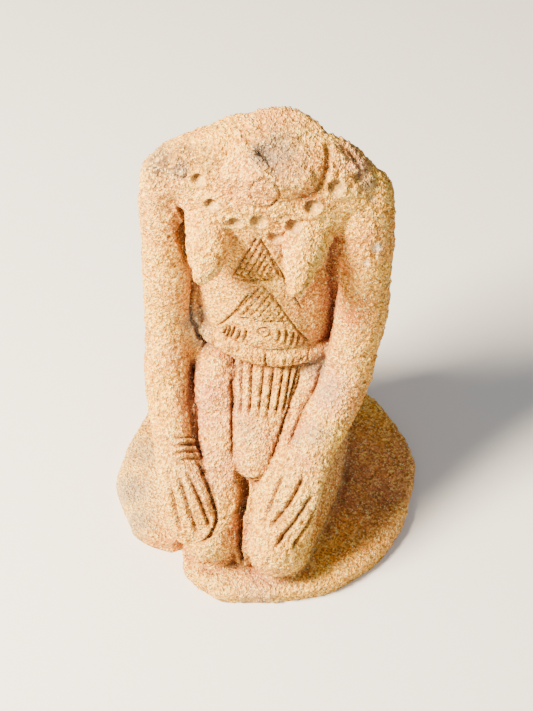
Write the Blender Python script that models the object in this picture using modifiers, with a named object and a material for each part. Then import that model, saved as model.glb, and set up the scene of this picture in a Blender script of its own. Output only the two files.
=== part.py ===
# A headless kneeling woman on a round base, modelled by hand in coarse terracotta and fired as one piece.
# She faces -Y and rests on the flat underside of the base, with the origin under the middle of it.

import math

import bmesh
import bpy
from mathutils import Matrix, Vector
from mathutils.bvhtree import BVHTree

# Driving dimensions, in metres.
FIGURE_HEIGHT = 0.279  # from the top of the base to the highest edge of the broken neck
FIGURE_FORWARD = 0.006  # how far the figure's own middle is set forward of the middle of the base
BASE_RADIUS = 0.100
BASE_THICKNESS = 0.012
BASE_EDGE = 0.0045  # how far the rim of the base is rounded over
BELT_RADIUS = 0.0042
STAMP_DIAMETER = 0.008  # the necklace's round stamps
STAMP_DEPTH = 0.0015
NAVEL_DIAMETER = 0.0056  # to the middle of its ring-shaped line
LINE_WIDTH = 0.0020  # the lines cut in the belly
LINE_DEPTH = 0.0012
FLUTE_WIDTH = 0.0034  # the grooves of the apron
FLUTE_DEPTH = 0.0022
FINGER_GROOVE_WIDTH = 0.0030
FINGER_GROOVE_DEPTH = 0.0020
BANGLE_GROOVE_WIDTH = 0.0020
BANGLE_GROOVE_DEPTH = 0.0013

# The figure's own forms are drawn in millimetres on a figure this high, from the top of the base.
DRAWN_HEIGHT = 279.0
FIGURE = FIGURE_HEIGHT / DRAWN_HEIGHT
VOXEL = 1.9 * FIGURE  # the size at which the separate forms are pressed into one
SMOOTH_PASSES = 5
BODY_TRIANGLES = 6000
LOFT_SIDES = 20
RING_STEPS = 3  # rings made between each two that are drawn
DOME_ANGLES = (75, 52, 27)  # degrees round the dome that closes the end of a form
NECK_DOME = 0.2  # the broken neck ends almost flat
FRONT = Vector((0, -1, 0))
UP = Vector((0, 0, 1))

# Each form is rings of (x, y, height, half width, half depth), read from one end to the other.
TORSO = [
    (0, 42, 46, 46, 31),
    (0, 42, 72, 51, 34),
    (-1, 40, 94, 49, 33),
    (-0.5, 38.5, 108, 45.5, 31.5),
    (-0.5, 38, 120, 44.5, 35),
    (-0.5, 37.5, 133, 45, 36.5),
    (-1, 37, 148, 45.5, 35),
    (-1.5, 37, 163, 46, 32),
    (-2, 36, 183, 45.5, 28.5),
    (-2, 35, 203, 46.5, 27),
    (-2, 34.5, 223, 51, 27.5),
    (-1, 34, 238, 52, 26),
    (0, 34, 250, 46, 20),
]
CHEST = [
    (-47, 31, 224, 20, 14),
    (-32, 27, 229, 24, 17.5),
    (-2, 25, 232, 26, 19),
    (30, 27, 229, 24, 17.5),
    (46, 31, 224, 20, 14),
]
SHOULDERS = [
    (-60, 33, 232, 15, 15),
    (-48, 33, 242, 19, 18),
    (-22, 33, 251, 21, 21),
    (8, 33, 252, 21, 21),
    (32, 33, 249, 21, 21),
    (46, 33, 242, 19, 19),
    (59, 33, 230, 15, 15),
]
NECK = [
    (1, 36, 222, 32, 23),
    (4, 35, 243, 31, 25),
    (7, 32, 259, 28.5, 27),
    (8.5, 29, 269, 26.5, 25.5),
]
RIGHT_ARM = [
    (-59.5, 33, 236, 15, 16),
    (-62, 28, 213, 13.5, 14),
    (-61, 22, 178, 14.5, 13.5),
    (-60.5, 18, 145, 15, 14),
    (-61, 13, 120, 15, 14),
    (-61, 2, 100, 14.5, 13.5),
    (-59, -12, 85, 13.5, 13),
    (-53, -33, 72, 12, 11.5),
]
RIGHT_HAND = [
    (-53, -33, 73, 12, 10),
    (-45.5, -51, 61, 14.5, 8),
    (-39.5, -61, 49, 16, 7.5),
    (-36, -68, 35, 15.5, 7),
    (-35.5, -71, 27, 13, 6.5),
]
LEFT_ARM = [
    (59, 33, 234, 15.5, 16),
    (60.5, 28, 206, 15.5, 15.5),
    (60, 23, 175, 16, 15.5),
    (59, 19, 148, 16, 15),
    (55.5, 13, 124, 15.5, 14.5),
    (51.5, 1, 103, 15, 14),
    (46, -12, 91, 14, 13),
    (38, -29, 80, 13, 11.5),
]
LEFT_HAND = [
    (38, -28, 80, 12.5, 10),
    (31, -45, 69, 15, 8),
    (26.5, -59, 56, 16, 7.5),
    (23, -69, 40, 14.5, 7),
    (21, -73, 31, 12, 6.5),
]
RIGHT_ARM_JOIN = [
    (-47, 34, 224, 7, 9),
    (-48, 31, 190, 6, 9),
    (-48.5, 29, 155, 6, 9),
    (-48.5, 27, 122, 6, 8),
]
LEFT_ARM_JOIN = [(-x - 1, y, z, wide, deep) for x, y, z, wide, deep in RIGHT_ARM_JOIN]
RIGHT_THIGH = [
    (-25, -63, 22, 19, 21),
    (-25, -36, 45, 21, 21),
    (-26, 3, 72, 25, 25),
    (-28, 38, 84, 28, 29),
]
LEFT_THIGH = [
    (17.5, -68, 22, 20, 22),
    (21, -36, 45, 22, 22),
    (24, 3, 72, 25, 26),
    (27, 38, 84, 28, 30),
]
RIGHT_CALF = [
    (-24.5, -57, 4, 19.5, 26),
    (-28, -20, 5, 23, 30),
    (-31, 20, 5, 22, 32),
    (-32, 58, 4, 18, 26),
]
LEFT_CALF = [
    (18, -60, 4, 20.5, 26),
    (23, -20, 5, 25, 30),
    (30, 20, 5, 23, 32),
    (32, 58, 4, 19, 26),
]
RIGHT_FOOT = [
    (-33, 52, 14, 15, 15),
    (-32, 74, 11, 14, 11),
    (-30, 88, 6, 12, 7),
]
LEFT_FOOT = [(-x, y, z, wide, deep) for x, y, z, wide, deep in RIGHT_FOOT]
RIGHT_BREAST = [
    (-34, 24, 226, 17, 13),
    (-34, 11, 217, 15.5, 12),
    (-33, 0, 208, 12, 10),
    (-32, -9, 201, 7.5, 6.5),
    (-31.5, -12, 198, 5.5, 5),
]
LEFT_BREAST = [
    (30, 24, 225, 19, 13),
    (29.5, 11, 216, 17, 13),
    (28, 0, 207, 13, 11),
    (26, -9, 199, 8, 7),
    (25.5, -12, 196, 6, 5.5),
]
APRON = [
    (4, 12, 118, 23, 6),
    (3, -6, 98, 20, 6),
    (-0.5, -23, 80, 15.5, 6),
    (-1.5, -36, 67, 11, 5.5),
    (-1.5, -42, 60, 8, 5),
]
BUTTOCK = (22, 56, 60, 28)  # x, y, height and radius, the same on both sides
BELT_HEIGHT = 122
BELT_MIDDLE = (-0.5, 38)
BELT_REACH = (45.5, 37)  # sideways and forward of its middle
BELT_TILT = 5  # how much higher it is at the figure's right side than in the middle
BELT_DIP = 11  # and how much lower in front than at the sides
BELT_STEPS = 48
BELT_SIDES = 8
RIM_WAVES = ((6, 0.009), (10, 0.005))  # waves round the base's outline, and their share of its radius
RIM_STEPS = 96

# Carving, as drawn (x, height) places seen from the front.
NECKLACE = [(-46.5, 254), (-36, 250), (-28, 239), (-15, 228), (0, 230), (9, 218), (19.5, 230), (30.5, 241),
            (43, 253)]
STAMP_TAPER = 0.16  # how much narrower the floor of a stamp is than its mouth, as a share of its diameter
UPPER_TRIANGLE = ((-0.5, 217), (-18, 181), (15, 181), 7)  # apex, left foot, right foot, parts of its base
LOWER_TRIANGLE = ((0.5, 178), (-19, 150.5), (17, 150.5), 6)
LOWER_LEGS = ((-30, 134), (28, 129))  # where its sides run out below the base line
NAVEL = (2, 144.5)
FRINGE = [(-17.5, -21), (-12.5, -15), (-7.5, -9), (9, 8), (13, 13), (17, 19)]  # x at the top and at the foot
FRINGE_HEIGHTS = (145, 134)
STROKE_GAP = 2.3  # what is left uncut where two strokes would meet
STROKE_STEP = 4
STROKE_TIP = 0.3  # how wide and deep the end of a stroke is, as a share of its middle
FLUTE_COUNT = 7
FLUTE_TOPS = (-12.7, 24.5)
FLUTE_FEET = (-11.5, 18)
FLUTE_HEIGHTS = (114, 88)
FINGER_GROOVES = [
    [(-45, 65), (-38, 55.5), (-32, 43)],
    [(-40.5, 68), (-28, 48.5), (-22, 41)],
    [(-48.5, 58.5), (-44.5, 46)],
    [(19.5, 75.5), (9.5, 56)],
    [(27.5, 70), (13.5, 45)],
    [(34, 69), (17.5, 40)],
    [(38, 60), (27.5, 39)],
]
BANGLES = (0.78, 0.95, 1.12)  # places of the grooves, as shares of the arm's last stretch
BANGLE_ANGLE = 65  # degrees each way from the top of the wrist
BANGLE_STEPS = 8
CHIP = [(-142, 1.12), (-142, 0.985), (-133, 0.915), (-126, 0.83), (-119, 0.905), (-111, 0.945), (-101, 0.985),
        (-101, 1.12), (-122, 1.3)]  # angle in degrees and share of the base's radius
LEG_GAP = [(-5.2, -42), (-7.4, -95), (-1.6, -95), (-3.8, -42)]  # seen from above
LEG_GAP_HEIGHTS = (0.4, 46)
def drawn(x, y, height):
    """A place on the figure, in metres."""
    return Vector((x * FIGURE, y * FIGURE - FIGURE_FORWARD, BASE_THICKNESS + height * FIGURE))


def rounded_ends(rings, last_reach=1):
    """The same rings with smaller ones past each end, so that the form closes in a dome."""
    def dome(ring, inner, share=1):
        centre, wide, deep = ring
        away = (centre - inner[0]).normalized()
        reach = min(wide, deep) * share
        return [
            (centre + away * reach * math.sin(angle), wide * math.cos(angle), deep * math.cos(angle))
            for angle in map(math.radians, DOME_ANGLES)
        ]

    first = dome(rings[0], rings[1])
    last = dome(rings[-1], rings[-2], last_reach)
    return first + rings + last[::-1]


def finer(rings, steps=RING_STEPS):
    """Rings along a smooth curve through the given ones."""
    def between(a, b, c, d, t):
        return 0.5 * (2 * b + (c - a) * t + (2 * a - 5 * b + 4 * c - d) * t * t
                      + (3 * b - 3 * c + d - a) * t ** 3)

    found = []
    for i in range(len(rings) - 1):
        four = [rings[max(i - 1, 0)], rings[i], rings[i + 1], rings[min(i + 2, len(rings) - 1)]]
        for step in range(steps):
            found.append(tuple(between(*values, step / steps) for values in zip(*four)))
    return found + [rings[-1]]


def loft(bm, rings, wide_along, sides=LOFT_SIDES):
    """A closed form through elliptical rings of (centre, half width, half depth)."""
    previous = None
    for i, (centre, wide, deep) in enumerate(rings):
        along = (rings[min(i + 1, len(rings) - 1)][0] - rings[max(i - 1, 0)][0]).normalized()
        across = (wide_along - along * wide_along.dot(along)).normalized()
        turn = Matrix((across, along.cross(across), along)).transposed().to_4x4()
        place = Matrix.Translation(centre) @ turn @ Matrix.Diagonal((wide, deep, 1, 1))
        end = i in (0, len(rings) - 1)
        made = bmesh.ops.create_circle(bm, cap_ends=end, segments=sides, radius=1, matrix=place)
        edges = list({edge for vert in made["verts"] for edge in vert.link_edges})
        if previous:
            bmesh.ops.bridge_loops(bm, edges=previous + edges)
        previous = edges


def drawn_loft(bm, rows, wide_along=(1, 0, 0), last_reach=1):
    rings = finer([(drawn(x, y, z), wide * FIGURE, deep * FIGURE) for x, y, z, wide, deep in rows])
    loft(bm, rounded_ends(rings, last_reach), Vector(wide_along))


def new_object(name, bm, collection):
    bmesh.ops.recalc_face_normals(bm, faces=bm.faces)
    mesh = bpy.data.meshes.new(name)
    bm.to_mesh(mesh)
    bm.free()
    obj = bpy.data.objects.new(name, mesh)
    collection.objects.link(obj)
    return obj


def rim_radius(angle):
    return BASE_RADIUS * (1 + sum(size * math.sin(count * angle) for count, size in RIM_WAVES))


def add_base(bm):
    """A round slab with a rounded rim, made thicker below so that it can be cut flat."""
    half = BASE_THICKNESS / 2
    profile = [
        (BASE_EDGE, BASE_THICKNESS),
        (BASE_EDGE * 0.3, BASE_THICKNESS - BASE_EDGE * 0.3),
        (0, half),
        (BASE_EDGE * 0.25, 0),
        (BASE_EDGE * 0.5, -half),
    ]
    previous = None
    for i, (inset, height) in enumerate(profile):
        end = i in (0, len(profile) - 1)
        made = bmesh.ops.create_circle(bm, cap_ends=end, segments=RIM_STEPS, radius=1)
        for vert in made["verts"]:
            angle = math.atan2(vert.co.y, vert.co.x)
            vert.co = vert.co * (rim_radius(angle) - inset)
            vert.co.z = height
        edges = list({edge for vert in made["verts"] for edge in vert.link_edges})
        if previous:
            bmesh.ops.bridge_loops(bm, edges=previous + edges)
        previous = edges


def add_belt(bm):
    """A roll of clay round the waist, higher on the figure's right and lower in front."""
    rings = []
    for step in range(BELT_STEPS + 1):
        angle = 2 * math.pi * step / BELT_STEPS
        across, ahead = math.sin(angle), math.cos(angle)
        height = BELT_HEIGHT - BELT_TILT * across - BELT_DIP * max(ahead, 0)
        place = drawn(BELT_MIDDLE[0] + BELT_REACH[0] * across, BELT_MIDDLE[1] - BELT_REACH[1] * ahead, height)
        rings.append((place, BELT_RADIUS, BELT_RADIUS))
    loft(bm, rings, UP, BELT_SIDES)
def make_body(collection):
    bm = bmesh.new()
    add_base(bm)
    drawn_loft(bm, NECK, last_reach=NECK_DOME)
    for rows in (TORSO, RIGHT_ARM, RIGHT_HAND, LEFT_ARM, LEFT_HAND, RIGHT_ARM_JOIN, LEFT_ARM_JOIN,
                 RIGHT_THIGH, LEFT_THIGH, RIGHT_CALF, LEFT_CALF, RIGHT_FOOT, LEFT_FOOT,
                 RIGHT_BREAST, LEFT_BREAST, APRON):
        drawn_loft(bm, rows)
    drawn_loft(bm, SHOULDERS, UP)
    drawn_loft(bm, CHEST, UP)
    x, y, height, radius = BUTTOCK
    for side in (-1, 1):
        place = Matrix.Translation(drawn(side * x, y, height))
        bmesh.ops.create_icosphere(bm, subdivisions=3, radius=radius * FIGURE, matrix=place)
    add_belt(bm)
    body = new_object("kneeling_figure", bm, collection)

    fuse = body.modifiers.new("pressed together", "REMESH")
    fuse.mode = "VOXEL"
    fuse.voxel_size = VOXEL
    soft = body.modifiers.new("smoothed by hand", "SMOOTH")
    soft.factor = 0.5
    soft.iterations = SMOOTH_PASSES
    return body


def on_front(surface, x, height):
    """The place and outward normal met by looking at the figure straight from the front."""
    start = drawn(x, -2 * DRAWN_HEIGHT, height)
    place, normal, _, _ = surface.ray_cast(start, -FRONT)
    return place, normal


def resampled(points, step):
    """The same polyline with a point about every step."""
    found = []
    for a, b in zip(points, points[1:]):
        count = max(1, round(math.dist(a, b) / step))
        found += [[p + (q - p) * i / count for p, q in zip(a, b)] for i in range(count)]
    return found + [list(points[-1])]


def trimmed(points, gap):
    """The same polyline, shorter by the gap at each end."""
    def pulled(end, inner):
        end, inner = Vector(end), Vector(inner)
        return tuple(end + (inner - end).normalized() * gap)

    return [pulled(points[0], points[1]), *points[1:-1], pulled(points[-1], points[-2])]


def stroke(bm, met, width, depth):
    """A V-shaped groove through places on the surface and their normals, tapered at both ends."""
    middle = met[len(met) // 2]
    across = (met[-1][0] - met[0][0]).cross(middle[1]).normalized()
    rings = [(place, width / 2, depth) for place, _ in met]
    for end in (0, -1):
        rings[end] = (rings[end][0], width / 2 * STROKE_TIP, depth * STROKE_TIP)
    loft(bm, rings, across, 4)


def front_stroke(bm, surface, points, width, depth):
    places = resampled(trimmed(points, STROKE_GAP), STROKE_STEP)
    stroke(bm, [on_front(surface, x, height) for x, height in places], width, depth)


def triangle_lines(apex, left, right, parts):
    """The three sides of a triangle, then hatching that runs along its left side."""
    lines = [[apex, left], [apex, right], [left, right]]
    for i in range(1, parts):
        foot = [a + (b - a) * i / parts for a, b in zip(left, right)]
        top = [a + (b - a) * i / parts for a, b in zip(apex, right)]
        lines.append([foot, top])
    return lines


def belly_lines():
    lines = triangle_lines(*UPPER_TRIANGLE) + triangle_lines(*LOWER_TRIANGLE)
    lines += [[foot, leg] for foot, leg in zip(LOWER_TRIANGLE[1:3], LOWER_LEGS)]
    high, low = FRINGE_HEIGHTS
    return lines + [[(top, high), (foot, low)] for top, foot in FRINGE]


def flute_lines():
    """Grooves that draw together from the belt towards the plain end of the apron."""
    lines = []
    for i in range(FLUTE_COUNT):
        top, foot = (a + (b - a) * i / (FLUTE_COUNT - 1) for a, b in (FLUTE_TOPS, FLUTE_FEET))
        lines.append([(top, FLUTE_HEIGHTS[0]), (foot, FLUTE_HEIGHTS[1])])
    return lines


def over_wrist(surface, arm, share):
    """Places met over the top of a wrist, at a share of the way along the arm's last stretch."""
    near, far = (drawn(*row[:3]) for row in arm[-2:])
    centre = near.lerp(far, share)
    side = (far - near).cross(UP).normalized()
    top = side.cross(far - near).normalized()
    clear = 3 * arm[-1][3] * FIGURE
    met = []
    for step in range(BANGLE_STEPS + 1):
        angle = math.radians(BANGLE_ANGLE * (2 * step / BANGLE_STEPS - 1))
        away = side * math.sin(angle) + top * math.cos(angle)
        met.append(surface.ray_cast(centre + away * clear, -away)[:2])
    return met


def make_lines(surface, collection):
    bm = bmesh.new()
    for line in belly_lines():
        front_stroke(bm, surface, line, LINE_WIDTH, LINE_DEPTH)
    for line in flute_lines():
        front_stroke(bm, surface, line, FLUTE_WIDTH, FLUTE_DEPTH)
    for line in FINGER_GROOVES:
        front_stroke(bm, surface, line, FINGER_GROOVE_WIDTH, FINGER_GROOVE_DEPTH)
    for arm in RIGHT_ARM, LEFT_ARM:
        for share in BANGLES:
            stroke(bm, over_wrist(surface, arm, share), BANGLE_GROOVE_WIDTH, BANGLE_GROOVE_DEPTH)
    return new_object("cut lines", bm, collection)


def facing(place, normal):
    return Matrix.Translation(place) @ normal.to_track_quat("Z", "Y").to_matrix().to_4x4()


def make_navel(surface, collection):
    """A ring-shaped line."""
    bm = bmesh.new()
    place = Matrix.Translation((NAVEL_DIAMETER / 2, 0, 0)) @ Matrix.Rotation(math.pi / 2, 4, "X")
    bmesh.ops.create_circle(bm, segments=4, radius=LINE_WIDTH / 2, matrix=place)
    bmesh.ops.spin(bm, geom=bm.edges[:], axis=UP, cent=(0, 0, 0), angle=2 * math.pi, steps=12)
    bmesh.ops.remove_doubles(bm, verts=bm.verts, dist=1e-6)
    bmesh.ops.transform(bm, matrix=facing(*on_front(surface, *NAVEL)), verts=bm.verts)
    return new_object("navel ring", bm, collection)
def make_stamps(surface, collection):
    """Flat-bottomed round dents, each pressed in square to the surface."""
    bm = bmesh.new()
    for x, height in NECKLACE:
        place = facing(*on_front(surface, x, height)) @ Matrix.Translation((0, 0, STAMP_DEPTH))
        floor, mouth = (STAMP_DIAMETER * (1 + side * STAMP_TAPER) / 2 for side in (-1, 1))
        bmesh.ops.create_cone(bm, cap_ends=True, segments=10, radius1=floor, radius2=mouth,
                              depth=STAMP_DEPTH * 4, matrix=place)
    return new_object("stamps", bm, collection)
def prism(name, outline, low, high, collection):
    """An upright prism between two heights, on an outline in metres."""
    bm = bmesh.new()
    floor = bm.faces.new([bm.verts.new((x, y, low)) for x, y in outline])
    pulled = bmesh.ops.extrude_face_region(bm, geom=[floor])["geom"]
    risen = [part for part in pulled if isinstance(part, bmesh.types.BMVert)]
    bmesh.ops.translate(bm, verts=risen, vec=(0, 0, high - low))
    return new_object(name, bm, collection)


def chip_outline():
    """The piece broken from the rim, as a share of the base's radius."""
    return [(share * BASE_RADIUS * math.cos(math.radians(angle)),
             share * BASE_RADIUS * math.sin(math.radians(angle))) for angle, share in CHIP]


def leg_gap_outline():
    """The gap between the shins, widening towards the knees."""
    return [drawn(x, y, 0).xy for x, y in LEG_GAP]
def cut(body, cutter):
    cutter.hide_render = True
    cutter.display_type = "WIRE"
    modifier = body.modifiers.new(cutter.name, "BOOLEAN")
    modifier.operation = "DIFFERENCE"
    modifier.object = cutter


def count_triangles(obj):
    mesh = obj.evaluated_get(bpy.context.evaluated_depsgraph_get()).to_mesh()
    return sum(len(face.vertices) - 2 for face in mesh.polygons)


def make_material():
    material = bpy.data.materials.new("coarse terracotta")
    material.use_nodes = True
    shader = material.node_tree.nodes["Principled BSDF"]
    shader.inputs["Base Color"].default_value = (0.62, 0.36, 0.20, 1)
    shader.inputs["Roughness"].default_value = 0.92
    shader.inputs["Metallic"].default_value = 0
    return material


def main():
    for obj in list(bpy.data.objects):
        bpy.data.objects.remove(obj)
    scene = bpy.context.scene
    figure = bpy.data.collections.new("terracotta kneeling figure")
    scene.collection.children.link(figure)
    cutters = bpy.data.collections.new("cutters")
    scene.collection.children.link(cutters)

    body = make_body(figure)
    body.data.materials.append(make_material())
    whole = count_triangles(body)
    fewer = body.modifiers.new("fewer triangles", "DECIMATE")
    fewer.ratio = BODY_TRIANGLES / whole
    surface = BVHTree.FromObject(body, bpy.context.evaluated_depsgraph_get())

    square = 2 * BASE_RADIUS
    corners = [(-square, -square), (square, -square), (square, square), (-square, square)]
    gap_floor, gap_top = (drawn(0, 0, height).z for height in LEG_GAP_HEIGHTS)
    tools = [
        prism("below the base", corners, -square, 0, cutters),
        prism("chip in the rim", chip_outline(), -BASE_RADIUS, BASE_THICKNESS * 1.5, cutters),
        prism("gap between the shins", leg_gap_outline(), gap_floor, gap_top, cutters),
        make_lines(surface, cutters),
        make_navel(surface, cutters),
        make_stamps(surface, cutters),
    ]
    for tool in tools:
        cut(body, tool)
    body.data.shade_smooth()
main()
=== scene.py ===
# Kneeling woman in coarse terracotta, headless, on a round base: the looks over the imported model.
# She faces -Y. Her forms are drawn in millimetres: x to her left, y to the back, and height from the
# base's top.

import math
import random

import bmesh
import bpy
import numpy as np
from mathutils import Matrix, Vector, noise
from mathutils.bvhtree import BVHTree
from mathutils.kdtree import KDTree


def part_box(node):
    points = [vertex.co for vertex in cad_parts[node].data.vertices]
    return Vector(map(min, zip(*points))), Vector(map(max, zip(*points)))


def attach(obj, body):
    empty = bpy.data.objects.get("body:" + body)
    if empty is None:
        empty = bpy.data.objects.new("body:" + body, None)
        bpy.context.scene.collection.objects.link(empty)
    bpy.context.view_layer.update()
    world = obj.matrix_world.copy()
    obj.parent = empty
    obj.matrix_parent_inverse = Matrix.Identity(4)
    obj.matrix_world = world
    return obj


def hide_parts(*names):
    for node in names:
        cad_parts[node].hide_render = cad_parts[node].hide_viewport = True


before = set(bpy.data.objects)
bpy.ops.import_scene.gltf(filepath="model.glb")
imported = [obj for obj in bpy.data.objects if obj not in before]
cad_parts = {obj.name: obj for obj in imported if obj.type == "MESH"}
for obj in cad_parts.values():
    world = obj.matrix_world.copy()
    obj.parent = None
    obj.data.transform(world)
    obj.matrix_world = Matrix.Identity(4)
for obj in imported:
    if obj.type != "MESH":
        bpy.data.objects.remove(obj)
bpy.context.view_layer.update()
nodeLow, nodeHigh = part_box("kneeling_figure")
mm = 0.001

base = {
    "radius": 100,
    "thickness": 12,
    "edge": 5,  # how far in and down the rim is rounded
    "under": 6,  # made this much deeper, then cut flat
    "waves": ((6, 0.009), (10, 0.005), (17, 0.003)),  # count round the rim and share of the radius
    "steps": 240,  # round the rim
    # the piece broken out of the rim: angle in degrees, share of the radius
    "chip": ((-150, 1.0), (-145, 0.985), (-140, 0.955), (-136, 0.92), (-132, 0.88), (-129, 0.855),
             (-127.5, 0.78), (-125, 0.78), (-124, 0.825), (-120, 0.885), (-116, 0.935), (-110, 0.965),
             (-101, 1.0)),
    "brokenEdge": 0.8,  # how much less the rim is rounded where it broke
}

figure = {
    "forward": 6,  # the figure's middle is this far in front of the base's middle
    "sides": 24,  # round each form
    "ropeSides": 12,  # and round the belt
    "steps": 4,  # rings between two drawn ones
    "dome": (75, 52, 27),  # degrees round the dome that closes a form
    "neckDome": 0.2,  # share of a full dome at the neck's break, which is nearly flat
    "voxel": 0.85,  # of the grid that fuses the forms
    "softening": (0.5, 3),  # factor and rounds of the smoothing after that
    "triangles": 194000,  # kept by the thinning, in about 166,000 faces
    "spareWeight": 0.00002,  # how strongly what can be spared steers it
    "seed": 7,
}

# rings of (x, y, height, half width, half depth) from one end of the form to the other
forms = {
    "torso": [
        (0, 42, 46, 46, 31),
        (0, 42, 72, 51, 34),
        (-1, 40, 94, 49, 33),
        (-0.5, 38.5, 108, 45.5, 31.5),
        (-0.5, 38, 120, 44.5, 35),
        (-0.5, 37.5, 133, 45, 36.5),
        (-1, 37, 148, 45.5, 35),
        (-1.5, 37, 163, 46, 32),
        (-2, 36, 183, 45.5, 28.5),
        (-2, 35, 203, 46.5, 27),
        (-2, 34.5, 223, 51, 27.5),
        (-1, 34, 238, 52, 26),
        (0, 34, 250, 46, 20),
    ],
    "chest": [
        (-47, 31, 224, 20, 14),
        (-32, 27, 229, 24, 17.5),
        (-2, 25, 232, 26, 19),
        (30, 27, 229, 24, 17.5),
        (46, 31, 224, 20, 14),
    ],
    "shoulders": [
        (-60, 33, 232, 15, 15),
        (-48, 33, 242, 19, 18),
        (-22, 33, 251, 21, 21),
        (8, 33, 252, 21, 21),
        (32, 33, 249, 21, 21),
        (46, 33, 242, 19, 19),
        (59, 33, 230, 15, 15),
    ],
    "neck": [
        (1, 36, 222, 32, 23),
        (4, 35, 243, 31, 25),
        (7.5, 32, 259, 29.5, 27),
        (9, 29, 268, 27.5, 25.5),
    ],
    "neck slope": [
        (-36, 30, 240, 15, 14),
        (-24, 29, 247, 18, 17),
        (-12, 29, 254, 18, 19),
        (2, 27, 257, 15, 18),
    ],
    "neck side": [
        (-28, 41, 255, 11, 14),
        (-17, 41, 261.5, 12.5, 15),
        (-6, 40, 266, 12, 15),
    ],
    "right arm": [
        (-59.5, 33, 236, 15, 16),
        (-62, 28, 213, 13.5, 14),
        (-61, 22, 178, 14.5, 13.5),
        (-60.5, 18, 145, 15, 14),
        (-61, 13, 120, 15, 14),
        (-61, 2, 100, 14.5, 13.5),
        (-59, -12, 85, 13.5, 13),
        (-53, -33, 72, 12, 11.5),
    ],
    "right hand": [
        (-53, -33, 73, 12, 10),
        (-45.5, -51, 61, 14.5, 8.5),
        (-39.5, -61, 49, 16, 8.5),
        (-36, -68, 35, 15.5, 8.5),
        (-35.5, -71, 28, 14, 8),
    ],
    "left arm": [
        (58, 33, 234, 16.5, 16),
        (58.6, 27, 206, 17.3, 16),
        (60, 23, 175, 16, 15.5),
        (59, 19, 148, 16, 15),
        (55.5, 13, 124, 15.5, 14.5),
        (51.5, 1, 103, 15, 14),
        (46, -12, 91, 14, 13),
        (38, -29, 80, 13, 11.5),
    ],
    "left hand": [
        (38, -28, 80, 12.5, 10),
        (31, -45, 69, 15, 8),
        (26.5, -59, 56, 16, 7.5),
        (23, -69, 40, 14.5, 7),
        (21, -73, 31, 12, 6.5),
    ],
    "right arm join": [
        (-47, 34, 224, 7, 9),
        (-48, 31, 190, 6, 9),
        (-48, 26, 155, 6, 10),
        (-47, 20, 124, 8, 11),
    ],
    "left arm join": [
        (46, 34, 224, 7, 9),
        (47, 31, 190, 6, 9),
        (47.5, 29, 155, 6, 9),
        (47.5, 27, 122, 6, 8),
    ],
    "right thigh": [
        (-25, -63, 22, 19, 21),
        (-25, -36, 45, 21, 21),
        (-26, 3, 72, 25, 25),
        (-28, 38, 84, 28, 29),
    ],
    "left thigh": [
        (17.5, -68, 22, 20, 22),
        (21, -36, 45, 22, 22),
        (24, 3, 72, 25, 26),
        (27, 38, 84, 28, 30),
    ],
    "between the legs": [
        (-3.5, -30, 44, 13, 16),
        (-3.5, -46, 33, 12, 15.5),
        (-3.5, -58, 19, 11, 14),
        (-3.5, -65, 5, 9, 10),
    ],
    "right crook": [
        (-46, 20, 119, 8, 10),
        (-45, 15, 98, 8.5, 10),
        (-44, 1, 85, 8, 8),
        (-42, -12, 76, 6, 7),
    ],
    "right hip": [
        (-31, 22, 106, 15, 12),
        (-30, 8, 99, 15, 12),
        (-28, -8, 86, 15, 11),
    ],
    "left hip": [
        (32, 22, 111, 14, 12),
        (29, 8, 98, 14, 12),
        (25, -8, 86, 14, 11),
    ],
    "right calf": [
        (-24.5, -57, 4, 19.5, 26),
        (-28, -20, 5, 23, 30),
        (-31, 20, 5, 22, 32),
        (-32, 58, 4, 18, 26),
    ],
    "left calf": [
        (18, -60, 4, 20.5, 26),
        (23, -20, 5, 25, 30),
        (30, 20, 5, 23, 32),
        (32, 58, 4, 19, 26),
    ],
    "right foot": [(-33, 52, 14, 15, 15), (-32, 74, 11, 14, 11), (-30, 88, 6, 12, 7)],
    "left foot": [(33, 52, 14, 15, 15), (32, 74, 11, 14, 11), (30, 88, 6, 12, 7)],
    "right breast": [
        (-32, 24, 226, 16, 13),
        (-30, 11, 217, 14.2, 12),
        (-29.6, 0, 209, 12.2, 10.5),
        (-31, -9, 202.5, 8.4, 7),
        (-32.6, -12, 200, 5.2, 5),
    ],
    "left breast": [
        (28, 24, 225, 16.5, 13),
        (26.5, 11, 216, 14.5, 13),
        (24.7, 0, 207, 11, 11),
        (23.4, -9, 200, 7.6, 7.2),
        (22.6, -12, 197.5, 5, 5),
    ],
    "apron": [
        (4, 12, 118, 23, 6),
        (3, -6, 98, 20, 6),
        (-0.5, -23, 80, 15.5, 6),
        (-1.5, -36, 67, 11, 5.5),
        (-1.5, -42, 60, 8, 5),
    ],
}
widthUpright = ("chest", "shoulders", "neck slope", "neck side")  # these run sideways
buttock = {"x": 22, "y": 56, "height": 60, "radius": 28}
belt = {
    "radius": 5.2,
    "height": 124,
    "middle": (-0.5, 38),
    "reach": (45.5, 37),
    "tilt": 4.5,  # higher on her right
    "dip": 3,  # lower in front
    "steps": 96,
}


def spot(x, y, height):
    return Vector((x, y - figure["forward"], height + base["thickness"])) * mm


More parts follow.
